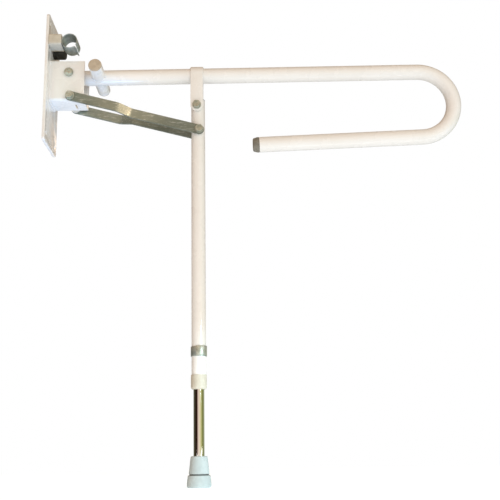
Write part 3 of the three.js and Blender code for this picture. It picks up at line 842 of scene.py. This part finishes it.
def leg_hanger():
    """The strap bent over the rail, with two round-ended ears, and the welds that hold it."""
    node = "leg_hanger"
    lo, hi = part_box(node)
    outer = hi.y
    inner, z = outer - SHEET, rail_z(LEG_PIVOT.x)
    end_r = (hi.x - lo.x) / 2
    drop = Z * (lo.z - 2 * MM)
    turns = [math.pi * i / 40 for i in range(41)]

    def bow(r):
        return [Vector((0, r * math.cos(a), z + r * math.sin(a))) for a in turns]

    section = [drop + Y * outer, *bow(outer), drop - Y * outer,
               drop - Y * inner, *bow(inner)[::-1], drop + Y * inner]
    strap = prism(f"{node}.v", section, X * (lo.x - MM), X * (hi.x + MM))
    ends = [math.pi * (1 + i / 32) for i in range(33)]
    outline = [in_plane(LEG_PIVOT) + heading(a) * end_r for a in ends]
    outline += [Vector((hi.x, 0, hi.z + MM)), Vector((lo.x, 0, hi.z + MM))]
    strap = common(strap, prism("outline", outline, Y * (-outer - MM), Y * (outer + MM)))
    strap = cut(strap, rod("hole", LEG_PIVOT, BOLT_HOLE, -outer - MM, outer + MM))
    stands_for(softened(strap, 0.5 * MM, 3), node)
    seam_r, bow_turns = RAIL_R + 0.5 * MM, [math.pi * (0.02 + 0.96 * i / 30) for i in range(31)]
    for name, x in (("hanger_weld_wall", lo.x - 0.2 * MM), ("hanger_weld_front", hi.x + 0.2 * MM)):
        seam = [Vector((x, seam_r * math.cos(a), rail_z(x) + seam_r * math.sin(a))) for a in bow_turns]
        bead(name, seam, 1.3 * MM, node)


# ---- Struts ----
def strut(node, sign):
    """A flat bar with round ends, joggled inwards between the channel and the leg."""
    link = LEG_PIVOT - RAIL_PIVOT
    length, along = link.length, link.normalized()
    up = along.cross(Y) * -1
    half, thick, soft_edge = 9 * MM, 4 * MM, 0.6 * MM
    wall_y, leg_y = 30.8 * MM, 16.3 * MM
    joggle = [(90 * MM, wall_y), (115 * MM, leg_y)]
    plan = rounded([(-half, wall_y), *joggle, (length + half, leg_y)], 4 * MM, 5)
    plan = [p for a, b in zip(plan, plan[1:]) for p in stepped(a, b, 6 * MM)][1:]
    ends = [half * math.sin(math.radians(d)) for d in (89, 84, 76, 67, 57, 46, 34, 22, 10)]
    plan = [Vector((-s, wall_y)) for s in ends] + [p for p in plan if 0 <= p.x <= length]
    plan += [Vector((length + s, leg_y)) for s in reversed(ends)]
    rings = []
    for i, p in enumerate(plan):
        ahead = (plan[min(i + 1, len(plan) - 1)] - plan[max(i - 1, 0)]).normalized()
        over = max(0.0, -p.x, p.x - length)
        wide = math.sqrt(max(half**2 - over**2, 1e-10))
        normal = along * -ahead.y + Y * sign * ahead.x
        soft = min(soft_edge, wide * 0.4)
        centre = STRUT_PIVOT + along * p.x + Y * sign * p.y
        corners = [(1, 1), (-1, 1), (-1, -1), (1, -1)]
        ring = []
        for n, w in corners:
            face = centre + normal * n * thick / 2 + up * w * (wide - soft)
            edge = centre + normal * n * (thick / 2 - soft_edge) + up * w * wide
            ring += [face, edge] if n == w else [edge, face]
        rings.append(ring)
    bar = loft(f"{node}.v", rings)
    eyes = [rod("eye", p, BOLT_HOLE, -40 * MM, 40 * MM) for p in (STRUT_PIVOT, LEG_STRUT_PIVOT)]
    stands_for(cut(bar, *eyes), node)


# ---- Leg ----
def upright(node, profile, cuts=()):
    """A turned piece on the leg's axis, with holes across it."""
    axis = X * middle("inner_tube").x
    stands_for(cut(turned(f"{node}.v", closed_ring(profile, 0.4 * MM), axis), *cuts), node)


def pin_hole(z):
    """A tool for one of the holes that take the height pin, on the near side only."""
    return rod("pin_hole", Vector((middle("inner_tube").x, 0, z)), 3.3 * MM, -20 * MM, 0, 32)


def leg():
    """The outer tube with its holes, and the bush in its end. The hidden pieces stay as the CAD has them."""
    node = "leg_tube"
    lo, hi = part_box(node)
    r = (hi.x - lo.x) / 2
    band_z = middle("height_clip").z
    holes = [rod("bush_hole", LEG_PIVOT, 6.3 * MM, -20 * MM, 20 * MM),
             rod("bolt_hole", LEG_STRUT_PIVOT, BOLT_HOLE, -20 * MM, 20 * MM), pin_hole(band_z)]
    wall = 1.5 * MM
    upright(node, [(r - wall, lo.z), (r, lo.z), (r, hi.z), (r - wall, hi.z)], cuts=holes)

    bush = "leg_end_bush"
    lo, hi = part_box(bush)
    outer, bore = (hi.x - lo.x) / 2, 9.8 * MM
    mouth = hi.z - 10.5 * MM
    seat = low(node).z - GAP
    upright(bush, [
        (bore + 0.6 * MM, lo.z), (outer - 2.6 * MM, lo.z, 1.2 * MM),
        (outer - 0.9 * MM, lo.z + 1.4 * MM, 1.5 * MM), (outer, lo.z + 3.6 * MM, 1.5 * MM),
        (outer, mouth), (r + GAP, mouth), (r + GAP, seat),
        (r - wall - GAP, seat), (r - wall - GAP, hi.z), (bore, hi.z), (bore, lo.z + 0.8 * MM),
    ])
    carry_over("leg_top_plug", "leg_pivot_bush", "inner_tube_glide", "foot_disc", "rail_pivot_bush")


def c_sheet(name, axis_x, inner, outer, start, end, z0, z1, tail=0.0, steps=48):
    """A curved sheet round the leg from one angle to another, and straight on past each end by a tail."""
    centre = Vector((axis_x, 0, 0))
    turns = [start + (end - start) * i / steps for i in range(steps + 1)]

    def arc(r):
        points = [centre + Vector((r * math.cos(a), r * math.sin(a), 0)) for a in turns]
        if tail:
            points = [points[0] + Y * tail, *points, points[-1] + Y * tail]
        return points

    return prism(name, arc(outer) + arc(inner)[::-1], Z * z0, Z * z1)


def height_clip():
    """The band that grips the leg: a spring strip with the height pin, and a plated tab on its near side
    whose lighter zinc is partly painted light, making the band's right side read as lit.
    """
    node = "height_clip"
    lo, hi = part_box(node)
    axis_x = middle("inner_tube").x
    inner, outer = 13 * MM, (hi.x - lo.x) / 2
    band = c_sheet(f"{node}.v", axis_x, inner, outer, 0, -math.pi, lo.z, hi.z, high(node).y)
    pin = rod("pin", Vector((axis_x, 0, middle(node).z)), 3 * MM, -outer + 0.3 * MM, -10.1 * MM, 32)
    band = joined(softened(band, 0.25 * MM, 2), pin)
    stands_for(band, node)
    # Painted light: the lighter zinc tab over the right and front of the band stands for its lit side,
    # against the darker steel on the left.
    tab = c_sheet("height_clip_lit_side_tab", axis_x, outer + 0.02 * MM, outer + 0.55 * MM, math.radians(-8),
                  math.radians(-108), lo.z + 0.8 * MM, hi.z + 1.1 * MM)
    dressed(smoothed(softened(tab, 0.2 * MM, 2)), node, "zinc_plate")


def inner_leg():
    """The chromed inner tube with its row of pin holes, and the rubber foot."""
    node = "inner_tube"
    lo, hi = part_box(node)
    r, wall, step = (hi.x - lo.x) / 2, 1.2 * MM, 25 * MM
    holes = [pin_hole(middle("height_clip").z + i * step) for i in range(-2, 3)]
    upright(node, [(r - wall, lo.z), (r, lo.z), (r, hi.z), (r - wall, hi.z)], cuts=holes)

    foot = "foot_ferrule"
    lo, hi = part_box(foot)
    base = (hi.x - lo.x) / 2
    groove = lo.z + FOOT_GROOVE
    bore_bottom = lo.z + 20.5 * MM
    tread = []
    for ring_r in (5, 9, 13, 17):
        tread += [((ring_r - 0.9) * MM, lo.z), ((ring_r - 0.6) * MM, lo.z + 1.2 * MM),
                  ((ring_r + 0.6) * MM, lo.z + 1.2 * MM), ((ring_r + 0.9) * MM, lo.z)]
    profile = [(0, lo.z), *tread, (base - 1.6 * MM, lo.z, 1.8 * MM),
               (base - 0.1 * MM, lo.z + 2.2 * MM, 2 * MM), (base, lo.z + 7 * MM, 2 * MM),
               (19.2 * MM, groove - 1.2 * MM, 1.2 * MM),
               (16.4 * MM, groove - 0.6 * MM, 0.3 * MM), (16.4 * MM, groove + 0.6 * MM, 0.3 * MM),
               (17.7 * MM, groove + 1.6 * MM, 0.6 * MM), (14.5 * MM, hi.z - 1.6 * MM, 1.6 * MM),
               (13.2 * MM, hi.z, 0.8 * MM), (9.8 * MM, hi.z, 0.4 * MM), (9.8 * MM, bore_bottom, 0.3 * MM),
               (0, bore_bottom)]
    ferrule = turned(f"{foot}.v", rounded(profile, 0.3 * MM), X * middle("inner_tube").x, Z, 96)
    stands_for(ferrule, foot)


def build():
    wall_plate()
    hinge_channel()
    parking_clip()
    clip_standoff()
    clip_screw()
    rail_buffer()
    rail_tube()
    rail_fittings()
    leg_hanger()
    for side, sign in SIDES.items():
        strut(f"strut_{side}", sign)
    leg()
    height_clip()
    inner_leg()
    fasten("rail_pivot", RAIL_PIVOT, dome_bolt)
    linkage = {"strut_pivot": STRUT_PIVOT, "leg_pivot": LEG_PIVOT, "strut_leg": LEG_STRUT_PIVOT}
    for name, centre in linkage.items():
        fasten(name, centre, hex_bolt)
        for side in SIDES:
            ring_piece(f"{name}_spacer_{side}", centre, BOLT_HOLE, 0.15 * MM)


# ---- Stage ----
FLOOR_Z = low("foot_ferrule").z


def floor():
    """A plain pale floor: a matt, slightly uneven disc that glows a little, as a lit table does."""
    sides, radii = 96, (0.0, 0.2, 0.5, 0.9, 1.3)
    centre = Vector((0.35, 0, FLOOR_Z))
    rings = [[centre + Vector((r * math.cos(a), r * math.sin(a), 0))
              for a in [2 * math.pi * i / sides for i in range(sides)]] for r in radii]
    disc = mesh_object("floor", [p for ring in rings for p in ring], ring_faces(len(rings), sides))
    paint = Paint("floor_white", Roughness=0.9, Specular_IOR_Level=0.1, Emission_Strength=0.76)
    paint.shader.inputs["Emission Color"].default_value = (0.80, 0.92, 1, 1)
    paint.colour(paint.ramp(paint.noise(3, 2), (0.3, (0.92, 0.92, 0.915)), (0.7, (0.94, 0.94, 0.94))))
    disc.data.materials.append(paint.material)
    disc.visible_glossy = False  # so that the chrome keeps its stripes down to the foot


def area_light(name, position, target, width, height, power, colour):
    light = bpy.data.lights.new(name, "AREA")
    light.shape, light.size, light.size_y = "RECTANGLE", width, height
    light.energy, light.color = power, colour
    obj = bpy.data.objects.new(name, light)
    obj.location = position
    obj.rotation_mode = "QUATERNION"
    obj.rotation_quaternion = (Vector(target) - Vector(position)).to_track_quat("-Z", "Y")
    obj.visible_camera = False
    bpy.context.scene.collection.objects.link(obj)
    return obj


class Sky:
    """The nodes of the studio's surroundings, which depend on direction only."""

    def __init__(self):
        made = bpy.data.worlds.new("studio")
        bpy.context.scene.world = made
        made.use_nodes = True
        self.tree = made.node_tree
        self.tree.nodes.clear()
        split = self.node("ShaderNodeSeparateXYZ")
        feed(split.inputs[0], self.node("ShaderNodeTexCoord").outputs["Generated"])
        self.x, self.y, self.z = (split.outputs[k] for k in "XYZ")

    def node(self, kind, **settings):
        new = self.tree.nodes.new(kind)
        for key, value in settings.items():
            setattr(new, key, value)
        return new

    def math(self, operation, a, b):
        new = self.node("ShaderNodeMath", operation=operation)
        feed(new.inputs[0], a)
        feed(new.inputs[1], b)
        return new.outputs[0]

    def half(self, axis):
        """A direction's part along an axis, from 0 to 1."""
        return self.math("ADD", self.math("MULTIPLY", axis, 0.5), 0.5)

    def ramp(self, value, stops):
        new = self.node("ShaderNodeValToRGB")
        set_stops(new, stops)
        feed(new.inputs["Fac"], value)
        return new.outputs["Color"]

    def blend(self, kind, factor, a, b):
        new = self.node("ShaderNodeMix", data_type="RGBA", blend_type=kind)
        for index, value in ((0, factor), (6, a), (7, b)):
            feed(new.inputs[index], value)
        return new.outputs[2]


def elevation(degrees):
    """Where an elevation lies on a ramp over height."""
    return 0.5 + 0.5 * math.sin(math.radians(degrees))


def bearing(degrees):
    """Where a bearing lies on a ramp round the horizon. 0 is towards -Y and 90 is towards +X."""
    return 0.5 + degrees / 360


def world():
    """A pale studio: bright in front, dim behind, warm above and on the left, and cool below."""
    sky = Sky()
    height = sky.half(sky.z)
    dome = sky.ramp(height, [
        (0.0, (0.66, 0.80, 0.98)), (elevation(-35), (0.86, 0.96, 1.06)), (elevation(-8), (1.04, 1.06, 1.08)),
        (elevation(14), (1.06, 0.94, 0.82)), (elevation(24), (0.80, 0.58, 0.41)),
        (elevation(42), (0.72, 0.51, 0.34)), (elevation(60), (0.76, 0.55, 0.38)), (1.0, (0.62, 0.44, 0.30)),
    ])
    depth = sky.ramp(sky.half(sky.y), [(0.0, 0.98), (0.3, 0.98), (0.55, 0.5), (1.0, 0.33)])
    sides = sky.ramp(sky.half(sky.x), [
        (0.0, (0.78, 0.65, 0.54)), (0.5, (1.0, 0.97, 0.94)), (1.0, (0.92, 1.05, 1.14)),
    ])
    room = sky.blend("MULTIPLY", 1.0, sky.blend("MULTIPLY", 1.0, dome, depth), sides)
    turn = sky.math("ARCTAN2", sky.x, sky.math("MULTIPLY", sky.y, -1.0))
    around = sky.math("ADD", sky.math("DIVIDE", turn, 2 * math.pi), 0.5)
    horizon = sky.ramp(around, [
        (0.0, (0.55, 0.56, 0.50)), (bearing(-134), (0.14, 0.13, 0.09)), (bearing(-95), (0.06, 0.05, 0.03)),
        (bearing(-60), (0.015, 0.006, 0.002)), (bearing(-38), (0.03, 0.01, 0.006)),
        (bearing(-20), (0.62, 0.46, 0.38)), (bearing(-4), (0.90, 0.74, 0.64)),
        (bearing(24), (0.88, 0.78, 0.52)), (bearing(47), (0.62, 0.60, 0.26)),
        (bearing(71), (0.28, 0.29, 0.10)), (bearing(101), (0.20, 0.22, 0.07)),
        (bearing(140), (0.55, 0.57, 0.42)), (1.0, (0.6, 0.6, 0.55)),
    ])
    band = sky.ramp(height, [
        (elevation(-9), 0.0), (elevation(-6), 1.0), (elevation(7), 1.0), (elevation(11), 0.0),
    ])
    seen = sky.node("ShaderNodeLightPath").outputs["Is Camera Ray"]
    final = sky.blend("MIX", seen, sky.blend("MIX", band, room, horizon), (1.0, 1.0, 1.0))
    background = sky.node("ShaderNodeBackground")
    feed(background.inputs["Color"], final)
    feed(sky.node("ShaderNodeOutputWorld").inputs["Surface"], background.outputs[0])


def spot_light(name, position, target, power, cone, colour):
    light = bpy.data.lights.new(name, "SPOT")
    light.energy, light.color, light.shadow_soft_size = power, colour, 0.05
    light.spot_size, light.spot_blend = math.radians(cone), 0.6
    obj = bpy.data.objects.new(name, light)
    obj.location = position
    obj.rotation_mode = "QUATERNION"
    obj.rotation_quaternion = (Vector(target) - Vector(position)).to_track_quat("-Z", "Y")
    obj.visible_camera = False
    bpy.context.scene.collection.objects.link(obj)
    return obj


def lights():
    """Spots for the bracket, the foot and the near strut's bend, a low strip, and a soft light in front."""
    spot_light("bracket_blue", (0.07, -0.06, -0.62), (0.055, 0, -0.02), 4.2, 24, (0.10, 0.42, 1.0))
    spot_light("bracket_side", (-0.20, -0.55, -0.02), (0.012, -0.05, -0.03), 2.6, 8, (0.45, 1.0, 1.0))
    spot_light("foot_cool", (0.95, -0.75, -0.45), (0.28, 0, -0.66), 28.0, 22, (0.62, 0.87, 1.0))
    spot_light("joggle_warm", (1.30, -0.93, 0.24), (0.1435, -0.0235, -0.059), 250.0, 2.8, (1.0, 0.72, 0.50))
    strip_at, strip_colour = (0.45, -0.24, FLOOR_Z + 0.01), (1.0, 0.99, 0.97)
    area_light("rail_strip", strip_at, (0.45, -0.02, 0.0), 0.9, 0.03, 0.32, strip_colour)
    front = area_light("front_right", (1.2, -2.0, 0.2), (0.3, 0, -0.3), 0.6, 1.4, 9, (0.90, 0.97, 1.0))
    front.visible_glossy = False


def camera():
    """The camera stands low in front of the rail and looks up at it."""
    yaw, pitch, roll = (math.radians(d) for d in (1.291, 13.475, -1.011))
    ahead = Vector((math.sin(yaw) * math.cos(pitch), math.cos(yaw) * math.cos(pitch), math.sin(pitch)))
    right = Vector((math.cos(yaw), -math.sin(yaw), 0))
    up = right.cross(ahead)
    right, up = right * math.cos(roll) + up * math.sin(roll), up * math.cos(roll) - right * math.sin(roll)
    data = bpy.data.cameras.new("camera")
    data.sensor_width, data.lens = 36, 59.66
    data.clip_start, data.clip_end = 0.05, 50
    obj = bpy.data.objects.new("camera", data)
    obj.matrix_world = Matrix.Translation((0.3397, -1.4578, -0.6719)) @ Matrix((
        (right.x, up.x, -ahead.x, 0),
        (right.y, up.y, -ahead.y, 0),
        (right.z, up.z, -ahead.z, 0),
        (0, 0, 0, 1),
    ))
    bpy.context.scene.collection.objects.link(obj)
    bpy.context.scene.camera = obj


camera()
build()
floor()
world()
lights()
bpy.context.scene.view_settings.view_transform = "Standard"
